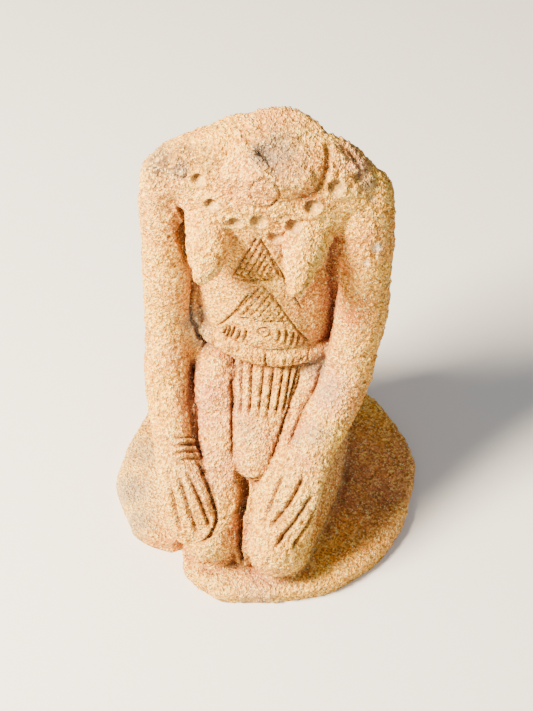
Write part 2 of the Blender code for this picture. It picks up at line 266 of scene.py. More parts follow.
def addLoft(bm, rings, widthAlong, sides):
    previous = None
    for i, (centre, wide, deep) in enumerate(rings):
        along = (rings[min(i + 1, len(rings) - 1)][0] - rings[max(i - 1, 0)][0]).normalized()
        across = (widthAlong - along * widthAlong.dot(along)).normalized()
        turn = Matrix((across, along.cross(across), along)).transposed().to_4x4()
        place = Matrix.Translation(centre) @ turn @ Matrix.Diagonal((wide, deep, 1, 1))
        end = i in (0, len(rings) - 1)
        ring = bmesh.ops.create_circle(bm, cap_ends=end, segments=sides, radius=1, matrix=place)
        edges = list(dict.fromkeys(edge for vert in ring["verts"] for edge in vert.link_edges))
        if previous:
            bmesh.ops.bridge_loops(bm, edges=previous + edges)
        previous = edges


def smoothRings(rings, steps):
    # a smooth curve through the drawn rings
    found = []
    for i in range(len(rings) - 1):
        a, b, c, d = (rings[j] for j in (max(i - 1, 0), i, i + 1, min(i + 2, len(rings) - 1)))
        for step in range(steps):
            t = step / steps
            weights = (-t + 2 * t**2 - t**3, 2 - 5 * t**2 + 3 * t**3,
                       t + 4 * t**2 - 3 * t**3, t**3 - t**2)
            found.append(tuple(sum((v * w for v, w in zip(values, weights)), values[0] * 0) / 2
                               for values in zip(a, b, c, d)))
    return found + [rings[-1]]


def dome(ring, inner, share=1):
    centre, wide, deep = ring
    away = (centre - inner[0]).normalized() * min(wide, deep) * share
    angles = [math.radians(angle) for angle in figure["dome"]]
    return [(centre + away * math.sin(a), wide * math.cos(a), deep * math.cos(a)) for a in angles]


def addForm(bm, name):
    rows = [(spot(x, y, height), wide * mm, deep * mm) for x, y, height, wide, deep in forms[name]]
    rings = smoothRings(rows, figure["steps"])
    last = dome(rings[-1], rings[-2], figure["neckDome"] if name == "neck" else 1)
    widthAlong = Vector((0, 0, 1)) if name in widthUpright else Vector((1, 0, 0))
    addLoft(bm, dome(rings[0], rings[1]) + rings + last[::-1], widthAlong, figure["sides"])


def rimAt(angle):
    # radius in mm and how broken the rim is there, 0 to 1
    radius = base["radius"] * (1 + sum(size * math.sin(count * angle) for count, size in base["waves"]))
    degrees = math.degrees(angle)
    angles, shares = zip(*base["chip"])
    if angles[0] < degrees < angles[-1]:
        broken = base["radius"] * float(np.interp(degrees, angles, shares))
        return min(radius, broken), 1 if broken < radius else 0
    return radius, 0


def addBase(bm):
    thick, edge = base["thickness"], base["edge"]
    # the rim is rounded by a quarter turn
    turns = [math.radians(angle) for angle in (0, 18, 36, 54, 72, 90)]
    profile = [(edge * (1 - math.sin(a)), thick - edge * (1 - math.cos(a))) for a in turns]
    # and its foot draws in a little
    profile += [(edge * 0.25, 0), (edge * 0.5, -base["under"])]
    previous = None
    for i, (inset, height) in enumerate(profile):
        end = i in (0, len(profile) - 1)
        ring = bmesh.ops.create_circle(bm, cap_ends=end, segments=base["steps"], radius=1)
        for vert in ring["verts"]:
            radius, broken = rimAt(math.atan2(vert.co.y, vert.co.x))
            vert.co = vert.co * (radius - inset * (1 - base["brokenEdge"] * broken)) * mm
            vert.co.z = height * mm
        edges = list(dict.fromkeys(edge for vert in ring["verts"] for edge in vert.link_edges))
        if previous:
            bmesh.ops.bridge_loops(bm, edges=previous + edges)
        previous = edges


def beltPath():
    path = []
    for step in range(belt["steps"] + 1):
        angle = 2 * math.pi * step / belt["steps"]
        across, ahead = math.sin(angle), math.cos(angle)
        height = belt["height"] - belt["tilt"] * across - belt["dip"] * max(ahead, 0)
        path.append(spot(belt["middle"][0] + belt["reach"][0] * across,
                         belt["middle"][1] - belt["reach"][1] * ahead, height))
    return path


def pressTogether():
    # every form in one mesh, fused on a fine grid, softened, and cut flat below
    bm = bmesh.new()
    addBase(bm)
    for name in forms:
        addForm(bm, name)
    for side in (-1, 1):
        place = Matrix.Translation(spot(side * buttock["x"], buttock["y"], buttock["height"]))
        bmesh.ops.create_icosphere(bm, subdivisions=4, radius=buttock["radius"] * mm, matrix=place)
    rope = [(place, belt["radius"] * mm, belt["radius"] * mm) for place in beltPath()]
    addLoft(bm, rope, Vector((0, 0, 1)), figure["ropeSides"])
    bmesh.ops.recalc_face_normals(bm, faces=bm.faces)
    mesh = bpy.data.meshes.new("pressed")
    bm.to_mesh(mesh)
    bm.free()
    lump = bpy.data.objects.new("pressed", mesh)
    bpy.context.scene.collection.objects.link(lump)
    fuse = lump.modifiers.new("fuse", "REMESH")
    fuse.mode = "VOXEL"
    fuse.voxel_size = figure["voxel"] * mm
    soft = lump.modifiers.new("soften", "SMOOTH")
    soft.factor, soft.iterations = figure["softening"]
    fused = bpy.data.meshes.new_from_object(lump.evaluated_get(bpy.context.evaluated_depsgraph_get()))
    bpy.data.objects.remove(lump)
    bm = bmesh.new()
    bm.from_mesh(fused)
    cut = bmesh.ops.bisect_plane(bm, geom=bm.verts[:] + bm.edges[:] + bm.faces[:], plane_co=(0, 0, 0),
                                 plane_no=(0, 0, 1), clear_inner=True)
    rim = [part for part in cut["geom_cut"] if isinstance(part, bmesh.types.BMEdge)]
    bmesh.ops.holes_fill(bm, edges=rim)
    bm.to_mesh(fused)
    bm.free()
    return fused


# marks made in the wet clay, in mm: two numbers are (x, height) met from the front, three are
# (x, y, height) laid on the nearest clay
triangles = {
    "upper": {"apex": (-1.5, 218), "left": (-18, 180.5), "right": (11.5, 182), "parts": 7, "nicks": 5},
    "lower": {"apex": (0, 178), "left": (-18, 151), "right": (17.5, 150.5), "parts": 7, "nicks": 4},
    # lines that run past the triangles, and two short scratches
    "long": [
        [(-1.5, 218), (10.7, 189.5), (17, 173), (24, 158)],
        [(-7, 171.5), (-18.5, 152), (-30.5, 134)],
        [(4.8, 172.8), (17.6, 150), (29, 128)],
        [(-18, 181), (-24, 182.5)],
        [(-9.7, 160.5), (-4, 152.5)],
    ],
    "width": 1.9,
    "depth": 1.9,
    "lip": 0.4,
    "hatchWidth": 1.9,
    "hatchDepth": 1.5,
    "nickWidth": 1.7,
    "nickDepth": 1.3,
}
stamps = {
    "places": [(-35.8, 251), (-28.2, 237), (-14.3, 227), (-0.8, 230), (8.6, 217), (19.7, 228),
               (30, 240.5), (42.6, 253)],
    "ring": (-47, 253.5),  # one that only bit in round its edge
    "ringShare": 0.8,  # of the radius
    "ringWidth": 2.2,
    "ringDepth": 2.4,
    "radius": 4.2,
    "spread": (0.92, 1.06),  # no two quite the same size
    "depth": 2.7,
    "slant": 0.6,  # how much deeper at the upper left
    "lip": 0.6,
}
navel = {
    "place": (1.4, 142.5),
    "radius": 3.4,
    "width": 2.0,
    "depth": 1.3,
    "dotRadius": 0.3,
    "dotDepth": 1.0,
}
fringe = {
    "tops": [(-23, 140), (-20, 142), (-17, 143), (-13.7, 141.5), (-9.5, 142),
             (11, 144.5), (15, 144.5), (19.4, 142), (22.4, 139), (25.8, 134)],
    "feet": [(-26, 129.5), (-23.5, 129), (-21, 129.5), (-16.5, 131), (-12, 132),
             (9.5, 134), (13.6, 133), (17, 129.5), (20.6, 128), (24.1, 127)],
    "width": 2.4,
    "depth": 2.3,
}
flutes = {
    "tops": [(-13.5, 116), (-7, 116.5), (1, 114.5), (7.5, 114), (13.5, 114), (18.4, 114.5), (23, 114)],
    "feet": [(-11.5, 88.5), (-5.6, 89), (0.2, 89), (5.7, 90), (11.2, 90), (15.5, 91), (18, 96)],
    "width": 2.6,
    "depth": 2.9,
}
# gaps cut straight in between the forms: width, depth, points
gaps = {
    "right armpit": (5, 5, [(-49, 17, 229), (-47, 16, 220), (-46, 16, 208), (-45.5, 17, 194),
                            (-45.5, 19, 176)]),
    "right arm": (3.2, 4, [(-45, 21, 168), (-46, 15, 141), (-46, 17, 125), (-46.5, 22, 104)]),
    "right forearm": (3, 6, [(-47, 14, 100), (-45.3, 8.5, 94.2), (-42.2, -3.7, 90.1),
                             (-40, -19.3, 80.3), (-38.5, -30.7, 72.4), (-35, -43, 67.9)]),
    "left arm": (4, 5, [(42, 16, 205), (42.3, 21, 190), (42.5, 22, 178), (42.5, 22, 155),
                        (42.8, 16, 143), (41, 13, 128)]),
    "left forearm": (2.2, 2.0, [(38, 13, 116), (32.5, 3, 100), (27, -13.5, 91), (23, -25.5, 83),
                                (20, -34.5, 76)]),
    "right breast": (3, 3.6, [(-17.5, 8, 214), (-18, 7, 207), (-20.5, 4, 201), (-24.5, -6, 199),
                              (-29, -12, 197.5)]),
    "left breast": (2.2, 1.0, [(12.5, 8.5, 210), (13.5, 6, 201), (16.5, -4, 197)]),
    "hump": (5, 2.6, [(34, 40, 269), (36, 31.5, 269.5), (37, 22.5, 266), (36.5, 17.5, 261.5),
                      (34, 13.6, 256), (30.5, 12.4, 251), (26, 11.8, 248.5), (21.5, 11.4, 248.5)]),
    "apron left": (2.2, 2.6, [(-19, 1, 115), (-18, -11, 92), (-15.6, -30, 75), (-14, -40, 65.5)]),
    "apron foot": (3.4, 4.5, [(-12.5, -43, 61), (-8.8, -45, 57.5), (-1, -46.5, 58.5), (6, -44.5, 61)]),
    "apron right": (2.2, 2.6, [(24.5, 6, 115), (21, -3, 102), (17.6, -16, 91), (13.5, -29, 78),
                               (9.8, -40, 66)]),
    "lap": (6, 9, [(-7, -45, 57), (-5.5, -49, 48), (-5.2, -54, 40), (-5.2, -58, 32)]),
    "legs": (3.2, 7, [(-5.5, -52, 44), (-5.2, -60, 30), (-5, -68, 16), (-4.4, -74, 3)]),
    "right hand": (3, 3.4, [(-37, -43, 71), (-28.4, -56, 59), (-20.8, -66, 46), (-21.5, -73, 38.5),
                            (-27, -78, 32), (-33, -79.5, 29)]),
    "left shoulder": (3.6, 1.8, [(42, 33, 268), (47.5, 36, 265), (52, 31, 261), (55, 25, 256.5),
                                 (56.5, 21, 251)]),
    "belt top": (2, 1.2, [(-41, 20, 133), (-30, 10.5, 132), (-17, 4.3, 130), (-3, 2, 128),
                          (6, 2, 127.5), (17, 4.5, 127), (28.7, 10.5, 126), (38, 18.5, 124.5)]),
    "belt foot": (2.4, 2.6, [(-41, 18, 121), (-30, 9, 120), (-17, 4, 117.5), (-6, 1.5, 115.5),
                             (5, 1, 115), (15, 3, 114.5), (26, 7, 114), (38, 16, 113)]),
}
fingers = {
    "grooves": [
        [(-40.5, -54, 68), (-32, -63, 56), (-23.5, -74, 37)],
        [(-46, -55, 67.5), (-39.2, -66, 54), (-31.5, -76, 35)],
        [(-50.5, -58, 62), (-46, -69, 48), (-42, -76, 34)],
        [(20, -49, 73), (14, -62, 59), (6.5, -69, 42.5)],
        [(33, -51, 74), (25.4, -63.6, 61), (12.7, -73, 43.5)],
        [(39, -58, 65.5), (29.3, -70.5, 50.8), (17.5, -81, 35.5)],
        [(42, -60, 57), (35.7, -71, 44.5), (28, -79, 33)],
    ],
    "width": 4.2,
    "depth": 2.8,
}
# rolls of clay round the wrists: where along the last stretch of the arm, and degrees round it
bangles = {
    "right arm": {"shares": (1.0, 1.18, 1.36, 1.54), "from": -88, "to": 4,
                  "width": 2.8, "depth": 1.6, "rise": 1.7},
    "left arm": {"shares": (0.72, 0.9), "from": -50, "to": 30,
                 "width": 2.0, "depth": 0.7, "rise": 0.2},
}
# small cuts across the front of the belt, and one deep one
nicks = {
    "count": 26,
    "spread": 22,  # of the path's steps, to either side of the front
    "shift": 1,
    "reach": (1.5, 3.5),
    "lean": 1.2,
    "lift": 2,
    "width": 1.8,
    "depth": 1.2,
    "cut": [(2.5, 126), (3.0, 115)],
    "cutWidth": 2.2,
    "cutDepth": 2.6,
}
# drawn on the skin: width, depth, lip, points
creases = {
    "hollow's foot": (9, 2.0, 0, [(3, 21, 272), (5, 15, 269), (8.5, 11.5, 266), (12, 8.5, 263)]),
    "hump edge": (3, 0.7, 0.4, [(-18.9, 43.8, 269.2), (-10, 27.2, 274.5), (-3.6, 21.6, 272.6),
                                (2.6, 17.1, 270.5)]),
    "crack": (2.6, 1.7, 0.5, [(2.6, 17.1, 270.5), (4.6, 14.2, 269), (8, 12.8, 268.2),
                              (10.6, 9.4, 265.4)]),
    "scar": (2.2, 1.2, 0.4, [(-6, 251), (-3.5, 258), (1, 262), (7, 262), (11, 256), (11, 249),
                             (8, 243.5), (2, 240.5), (-4, 244), (-6, 250)]),
    "collar": (3, 0.5, 0.3, [(-24, 14, 238), (-12, 9, 234), (0, 8, 236), (10, 9, 232), (18, 10, 238)]),
}
# broad hollows and, with a minus, bumps: x, y, height, radius, depth
hollows = [
    (1, 20.5, 272, 5.5, 4.2),
    (8, 22, 271.5, 9, 2.6),
    (17, 22, 270, 8, 1.4),
    (-3, 21.5, 272.5, 3.5, 1.4),
    (8.5, 14.5, 268.5, 1.8, -1.8),
    (15, 14, 265, 7, -1.2),
    (23, 17, 267, 12, -2.2),
    (25, 13, 258, 10, -2.6),
    (44, 34, 266, 5, 1.4),
    (49, 31, 264, 6, 1.8),
    (55.5, 23, 254.6, 4.5, 2.2),
    (63.5, 21.5, 243, 5, 2.0),
    (72.5, 25.3, 233.8, 3, -1.4),
    (66.8, 14.7, 210.1, 3.2, 0.9),
    (61.6, 11.7, 200.2, 2.6, 0.8),
    (-43, -35, 79, 3, -0.8),
]
grit = {
    "swell": (24, 0.6),  # size and depth in mm of the unevenness left by the hands
    "lump": (6.5, 0.3),
    "grain": (2.4, 0.4),
    "pits": 5000,
    "pitRadius": (1.0, 1.9),
    "pitDepth": (0.4, 1.1),
    "grains": 14000,
    "grainRadius": (0.9, 1.6),
    "grainRise": (0.25, 0.7),
    # how much less grit shows on smoothed clay, in the stamps and in the marks, and how much more
    # where the clay is rough
    "smoothed": 0.6,
    "stamped": 0.9,
    "marked": 0.5,
    "rough": 0.5,
}


def onClay(tree, point):
    if len(point) == 2:
        place, normal = tree.ray_cast(spot(point[0], -300, point[1]), Vector((0, 1, 0)))[:2]
    else:
        place, normal = tree.find_nearest(spot(*point))[:2]
    return np.array(place) / mm, np.array(normal)


def smoothLine(points, step=0.8):
    spans = [math.dist(a, b) for a, b in zip(points, points[1:])]
    rings = [(Vector(point),) for point in points]
    return [ring[0] for ring in smoothRings(rings, max(1, round(max(spans) / step)))]


def nearPath(places, path):
    # distance to a polyline, and how far along it, for each place
    start, span = path[:-1], np.diff(path, axis=0)
    length = np.maximum(np.linalg.norm(span, axis=1), 1e-6)
    before = np.concatenate([[0], np.cumsum(length)[:-1]])
    offset = places[:, None, :] - start[None]
    t = np.clip((offset * span[None]).sum(2) / length**2, 0, 1)
    away = np.linalg.norm(offset - span[None] * t[..., None], axis=2)
    best = away.argmin(1)
    row = np.arange(len(places))
    return away[row, best], before[best] + t[row, best] * length[best], length.sum()


def within(clay, path, reach):
    inside = (clay["places"] > path.min(0) - reach) & (clay["places"] < path.max(0) + reach)
    return np.flatnonzero(inside.all(1))


def carve(clay, path, width, depth, lip=0.0, taper=4.0):
    path = np.asarray(path)
    near = within(clay, path, width * 1.2)
    if not len(near):
        return
    away, along, total = nearPath(clay["places"][near], path)
    # shallow at its ends, and of an uneven depth as a hand draws it
    fade = np.clip(np.minimum(along, total - along) / taper, 0.15, 1) ** 0.7
    uneven = 1 + 0.25 * np.sin(along * 1.1 + path[0, 0]) * np.sin(along * 0.37 + path[0, 2])
    s = away / (width / 2)
    groove = np.where(s < 1, 0.5 * (1 + np.cos(np.pi * np.minimum(s, 1))), 0) * depth * fade * uneven
    burr = lip * fade * uneven * np.exp(-(((s - 1.4) / 0.32) ** 2))
    clay["dig"][near] = np.maximum(clay["dig"][near], groove)
    clay["burr"][near] = np.maximum(clay["burr"][near], burr)
    # painted shade in the groove
    clay["markShade"][near] = np.maximum(clay["markShade"][near], groove / max(depth, 1))


def carvePoints(clay, points, width, depth, lip=0.0, taper=4.0):
    path = [onClay(clay["tree"], point)[0] for point in smoothLine(points)]
    carve(clay, path, width, depth, lip, taper)


def cutGap(clay, width, depth, points, taper=7.0):
    # pushed straight in, so that the walls stay steep
    met = [onClay(clay["tree"], point) for point in smoothLine(points, 1.5)]
    path = np.array([place for place, _ in met])
    inward = -np.mean([normal for _, normal in met], axis=0)
    inward /= np.linalg.norm(inward)
    near = within(clay, path, width + depth)
    offset = clay["places"][near]
    flat = offset - np.outer(offset @ inward, inward)
    line = path - np.outer(path @ inward, inward)
    away, along, total = nearPath(flat, line)
    level = np.abs((offset @ inward) - np.interp(along, np.linspace(0, total, len(path)), path @ inward))
    fade = np.clip(np.minimum(along, total - along) / taper, 0.1, 1)
    uneven = 1 + 0.2 * np.sin(along * 0.9 + points[0][0]) * np.sin(along * 0.31)
    s = np.minimum(away / (width / 2) / (0.85 + 0.15 * uneven), 1)
    facing = np.clip(-(clay["normals"][near] @ inward) * 3, 0, 1)
    push = (1 - s**2) ** 0.8 * depth * fade * uneven * facing * np.clip(2 - level / depth, 0, 1)
    more = push > clay["deep"][near]
    clay["deep"][near[more]] = push[more]
    clay["sink"][near[more]] = push[more, None] * inward
    # painted shade in the gap
    clay["markShade"][near] = np.maximum(clay["markShade"][near], np.clip(push / 4, 0, 0.8))


def drawTriangle(clay, name):
    shape = triangles[name]
    apex, left, right = shape["apex"], shape["left"], shape["right"]
    lip = triangles["lip"]
    for points in ([apex, left], [apex, right], [left, right]):
        carvePoints(clay, points, triangles["width"], triangles["depth"], lip)
    parts = shape["parts"]
    for i in range(1, parts):
        # scratches side by side, each from the foot up to the right-hand line
        foot = [a + (b - a) * (i - 0.1) / parts for a, b in zip(left, right)]
        top = [a + (b - a) * (i - 0.1) / parts for a, b in zip(apex, right)]
        bent = [(a + b) / 2 + random.uniform(-0.5, 0.5) for a, b in zip(foot, top)]
        start = [a + (b - a) * 0.08 for a, b in zip(foot, top)]
        carvePoints(clay, [start, bent, top], triangles["hatchWidth"], triangles["hatchDepth"], lip,
                    taper=2)
        # short nicks across, from this scratch to the next
        for nick in range(shape["nicks"]):
            t = (nick + random.uniform(0.3, 0.7)) / shape["nicks"]
            x, height = (a + (b - a) * t for a, b in zip(foot, top))
            carvePoints(clay, [(x - 3, height + 0.8), (x - 0.4, height - 0.6)], triangles["nickWidth"],
                        triangles["nickDepth"], lip=0.3, taper=1)


def drawBelly(clay):
    drawTriangle(clay, "upper")
    drawTriangle(clay, "lower")
    for points in triangles["long"]:
        carvePoints(clay, points, triangles["width"], triangles["depth"], triangles["lip"])
    for top, foot in zip(fringe["tops"], fringe["feet"]):
        middle = ((top[0] + foot[0]) / 2 + 0.6, (top[1] + foot[1]) / 2)
        carvePoints(clay, [top, middle, foot], fringe["width"], fringe["depth"], lip=0.5, taper=1.5)
    drawRing(clay, navel["place"], navel["radius"], navel["width"], navel["depth"])
    drawRing(clay, navel["place"], navel["dotRadius"], navel["width"], navel["dotDepth"])


def drawRing(clay, place, radius, width, depth):
    steps = 24
    turns = [2 * math.pi * i / steps for i in range(steps + 1)]
    ring = [(place[0] + radius * 1.1 * math.cos(a), place[1] + radius * math.sin(a)) for a in turns]
    carve(clay, [onClay(clay["tree"], point)[0] for point in ring], width, depth, lip=0.4, taper=0.1)


def pressStamps(clay):
    for x, height in stamps["places"]:
        centre, normal = onClay(clay["tree"], (x, height))
        offset = clay["places"] - centre
        rise = offset @ normal
        radius = stamps["radius"] * random.uniform(*stamps["spread"])
        out = np.linalg.norm(offset - rise[:, None] * normal, axis=1) / radius
        near = np.flatnonzero((out < 1.7) & (np.abs(rise) < 7))
        out, rise = out[near], rise[near]
        # a flat floor, a rolled lip, skin smoothed by the stamp, and painted shadow on the upper-left
        # wall, where it bit deepest
        inside = np.clip((1.1 - out) / 0.2, 0, 1)
        inside = inside * inside * (3 - 2 * inside)
        slant = (offset[near, 2] - offset[near, 0]) / radius * stamps["slant"]
        floor = (rise + stamps["depth"] * (1 + slant)) * inside
        clay["dig"][near] = np.maximum(clay["dig"][near], floor)
        lip = stamps["lip"] * np.exp(-(((out - 1.25) / 0.16) ** 2))
        clay["burr"][near] = np.maximum(clay["burr"][near], lip)
        clay["calm"][near] = np.maximum(clay["calm"][near], np.clip((1.3 - out) / 0.2, 0, 1))
        # painted shadow on the stamp's upper-left wall
        edge = np.exp(-(((out - 0.95) / 0.16) ** 2)) * np.clip(slant * 1.6, 0, 1)
        clay["markShade"][near] = np.maximum(clay["markShade"][near], edge)
    radius = stamps["radius"] * stamps["ringShare"]
    drawRing(clay, stamps["ring"], radius, stamps["ringWidth"], stamps["ringDepth"])


def wrapBangles(clay):
    steps, reach = 16, 18 * mm
    for name, bangle in bangles.items():
        near, far = (spot(*row[:3]) for row in forms[name][-2:])
        side = (far - near).cross(Vector((0, 0, 1))).normalized()
        top = side.cross(far - near).normalized()
        shares = bangle["shares"]
        halves = [(a + b) / 2 for a, b in zip(shares, shares[1:])]
        for share in list(shares) + halves:
            path = []
            for step in range(steps + 1):
                angle = math.radians(bangle["from"] + (bangle["to"] - bangle["from"]) * step / steps)
                away = side * math.sin(angle) + top * math.cos(angle)
                place = clay["tree"].ray_cast(near.lerp(far, share), away, reach)[0]
                if place is not None:
                    path.append(np.array(place) / mm)
            if share in shares:
                carve(clay, path, bangle["width"], bangle["depth"], taper=5)
                continue
            # the roll stands up between two grooves
            path = np.array(path)
            close = within(clay, path, 4)
            away, along, total = nearPath(clay["places"][close], path)
            fade = np.clip(np.minimum(along, total - along) / 5, 0, 1) * (1 + 0.4 * np.sin(along * 1.7))
            roll = bangle["rise"] * np.exp(-((away / 1.5) ** 2)) * fade
            clay["burr"][close] = np.maximum(clay["burr"][close], roll)


def nickBelt(clay):
    path = beltPath()
    for _ in range(nicks["count"]):
        place = path[random.randrange(-nicks["spread"], nicks["spread"])] / mm
        x = place[0] + random.uniform(-nicks["shift"], nicks["shift"])
        reach = random.uniform(*nicks["reach"])
        lean = random.uniform(-nicks["lean"], nicks["lean"])
        height = place[2] - base["thickness"]
        points = [(x - lean, height + reach + nicks["lift"]), (x + lean, height - reach + nicks["lift"])]
        carvePoints(clay, points, nicks["width"], nicks["depth"], lip=0.2, taper=1.5)
    carvePoints(clay, nicks["cut"], nicks["cutWidth"], nicks["cutDepth"], lip=0.3, taper=1)


def scatter(clay, count, radii, depths, target):
    # small round pits or grains, fewer where the clay was smoothed
    places = clay["places"]
    for _ in range(count):
        index = random.randrange(len(places))
        radius, depth = random.uniform(*radii), random.uniform(*depths)
        if random.random() < clay["smooth"][index]:
            continue
        for _, near, away in clay["finder"].find_range(Vector(places[index]), radius):
            fall = 1 - (away / radius) ** 2
            target[near] = max(target[near], depth * fall)


def noiseField(places, size, seed):
    # from about -1 to 1
    shift = Vector((seed * 3.7, seed * 1.9, seed * 5.3))
    return np.array([noise.noise(Vector(place) / size + shift) for place in places]) * 2


# where the clay differs, and where shade or light is painted on it: x, y, height, radius, strength
zones = {
    "smooth": [(-30, 5, 165, 24, 0.8), (34, 8, 150, 24, 0.7), (0, 2, 133, 18, 0.3),
               (-80, -15, 0, 42, 0.8), (-26, -20, 84, 26, 0.5), (0, 70, 150, 70, 0.4),
               (-48, 22, 105, 18, 0.6), (-2, -34, 74, 10, 0.3)],
    "rough": [(8, 25, 272, 24, 1.0), (52, 30, 256, 16, 0.9), (-55, 25, 252, 14, 0.5),
              (0, 8, 225, 26, 0.4), (28, -8, 200, 14, 0.7), (-60, -10, 88, 14, 0.4),
              (20, -80, 25, 18, 0.8), (-25, -75, 20, 16, 0.7), (66, 15, 215, 16, 0.5),
              (20, -95, -2, 34, 0.5)],
    "grey": [(1, 20, 270, 7, 1.0), (9, 22, 271, 9, 0.7), (16, 14, 266, 11, 0.3),
             (-47, 19, 253.5, 5, 0.7), (-47, 16, 134, 9, 0.9), (-41, 19, 122, 10, 0.8),
             (33, 9, 111, 9, 0.6), (-88, -22, 0, 12, 0.8), (-78, -46, 0, 11, 0.7),
             (-86, 12, 0, 11, 0.5), (-62, 30, 254, 9, 0.35), (38, -30, 88, 8, 0.6),
             (27, -30, 84, 6, 0.5), (44, -8, 106, 9, 0.5), (5, -60, 30, 6, 0.6), (59, 24, 249, 5, 0.6),
             (53, 29, 256, 5, 0.3), (-7, -28, 84, 8, 0.3), (0, 80, 40, 30, 0.4), (-2, -50, 34, 6, 0.8),
             (8, -96, -2, 12, 0.4)],
    "pink": [(70, 10, 0, 42, 0.8), (52, 30, 260, 12, 0.8), (-27, -14, 90, 22, 0.9),
             (-24, -45, 64, 18, 0.8), (41, -8, 108, 17, 0.8), (46, 34, 264, 9, 0.5),
             (27, -20, 88, 12, 0.6), (0, -30, 80, 14, 0.5), (-8, 9, 255, 14, 0.5),
             (0, 60, 200, 40, 0.3), (-62, 10, 115, 14, 0.4), (30, -45, 80, 12, 0.5),
             (8, 45, 275, 20, 0.4)],
    # painted warm shade on her left side, which is turned from the lamp, in the crevices and on the base
    # where her shadow falls
    "orangeShade": [(38, 12, 168, 22, 1.0), (54, 7, 162, 14, 1.0), (34, 24, 266, 9, 0.6),
               (-46, 24, 105, 14, 1.0), (26, 11, 249, 8, 1.0), (3, 8, 252, 8, 0.5),
               (52, 12, 165, 10, 0.7), (-8, -66, 30, 10, 1.0), (-56, -71, -4, 16, 0.9),
               (46, 10, 190, 12, 0.9), (62, -6, 100, 14, 0.6), (47, 36, 266, 6, 0.5),
               (-10, 6, 178, 16, 0.3), (74, 22, 170, 14, 0.5), (75, 25, 215, 12, 0.4),
               (66, -22, 0, 36, 0.4), (42, -45, 20, 14, 0.9), (34, 5, 137, 12, 0.6),
               (-16, 8, 246, 8, 0.4), (68, 40, 0, 36, 0.4), (-42, 10, 196, 10, 0.6)],
    # dark speckle of soot and grit; the spots on the base beside her left leg also darken where her
    # shadow falls, painted shade
    "stain": [(-60, 24, 252, 11, 0.9), (-45, 23, 260, 9, 0.8), (-31, 19, 263, 8, 0.6),
              (1, 20.5, 270, 6, 1.0), (12, 24, 272, 15, 0.55), (-56, -71, -4, 8, 1.0),
              (56, 8, 0, 12, 0.35), (62, -12, 0, 10, 0.3), (57, 22, 252, 4, 0.8),
              (30, -40, 74, 9, 0.25), (-78, 20, 0, 20, 0.3), (80, -10, 0, 12, 0.4),
              (52, 34, 262, 6, 0.5)],
    # paler clay on the base, and painted highlight on the lit shoulders, forearm, hands and lap
    "paleAndLit": [(-84, -14, 0, 40, 0.9), (-68, 30, 235, 24, 0.4), (40, -10, 108, 18, 0.5),
             (-45, -50, 70, 20, 0.4), (30, -60, 60, 20, 0.4), (0, -92, 0, 40, 0.3),
             (50, 32, 262, 12, 0.6), (0, -40, 66, 14, 0.4)],
    "lime": [(66.8, 14.7, 210.1, 2.6, 1.0), (61.6, 11.7, 200.2, 1.8, 1.0), (15, -3, 206, 1.2, 0.6),
             (26, -5, 212, 1.0, 0.5), (62, 22, 240, 2.4, 0.4)],
}


def zoneMask(places, name):
    # places in mm in the scene's frame; soft-edged balls, the strongest wins
    mask = np.zeros(len(places))
    for x, y, height, radius, strength in zones[name]:
        away = np.linalg.norm(places - np.array(spot(x, y, height)) / mm, axis=1) / radius
        mask = np.maximum(mask, strength * np.clip(1.5 - away, 0, 1))
    return mask


def readPlaces(mesh):
    places = np.empty(len(mesh.vertices) * 3)
    mesh.vertices.foreach_get("co", places)
    return places.reshape(-1, 3)


def readNormals(mesh):
    normals = np.empty(len(mesh.vertices) * 3)
    mesh.vertex_normals.foreach_get("vector", normals)
    return normals.reshape(-1, 3)


